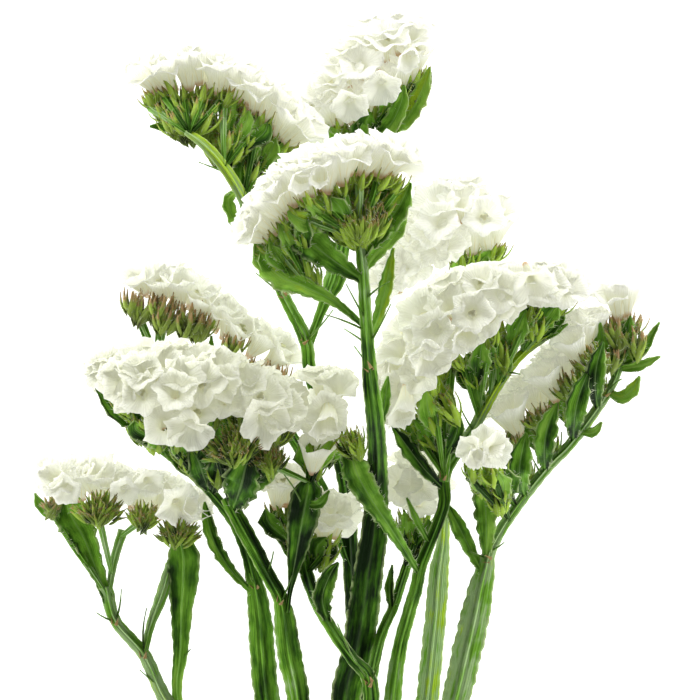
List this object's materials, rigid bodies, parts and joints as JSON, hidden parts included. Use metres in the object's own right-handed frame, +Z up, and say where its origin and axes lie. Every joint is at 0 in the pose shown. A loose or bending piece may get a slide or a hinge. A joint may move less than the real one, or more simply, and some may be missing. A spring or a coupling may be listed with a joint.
{
  "type": "bunch of statice",
  "caption": "Gathered bunch of cut statice, laid down: winged forked green stems with bracts and leaves, and one-sided crests of white papery calyces.",
  "frame": {"origin": "middle of the bunch's footprint, on the surface that it lies on", "axes": "+Y along the stems, from their cut ends to the heads; +Z up from the surface; +X to the right, seen from above"},
  "size_m": [0.1415, 0.2303, 0.0733],
  "materials": {
    "calyx": "matt, thin and papery, finely ribbed",
    "foliage": "matt green leaf and stem, finely ribbed and hairy"
  },
  "bodies": {
    "root": {"calyces_1": "calyx", "calyces_2": "calyx", "calyces_3": "calyx", "calyces_4": "calyx", "calyces_5": "calyx", "calyces_6a": "calyx", "calyces_6b": "calyx", "calyces_6f": "calyx", "calyces_7": "calyx", "calyces_8": "calyx", "calyces_9": "calyx", "calyces_14": "calyx", "calyces_10": "calyx", "calyces_11": "calyx", "calyces_12": "calyx", "calyces_13": "calyx", "stem_1": "foliage", "stem_2": "foliage", "stem_3": "foliage", "stem_4": "foliage", "stem_5": "foliage", "stem_6": "foliage"}
  },
  "joints": []
}
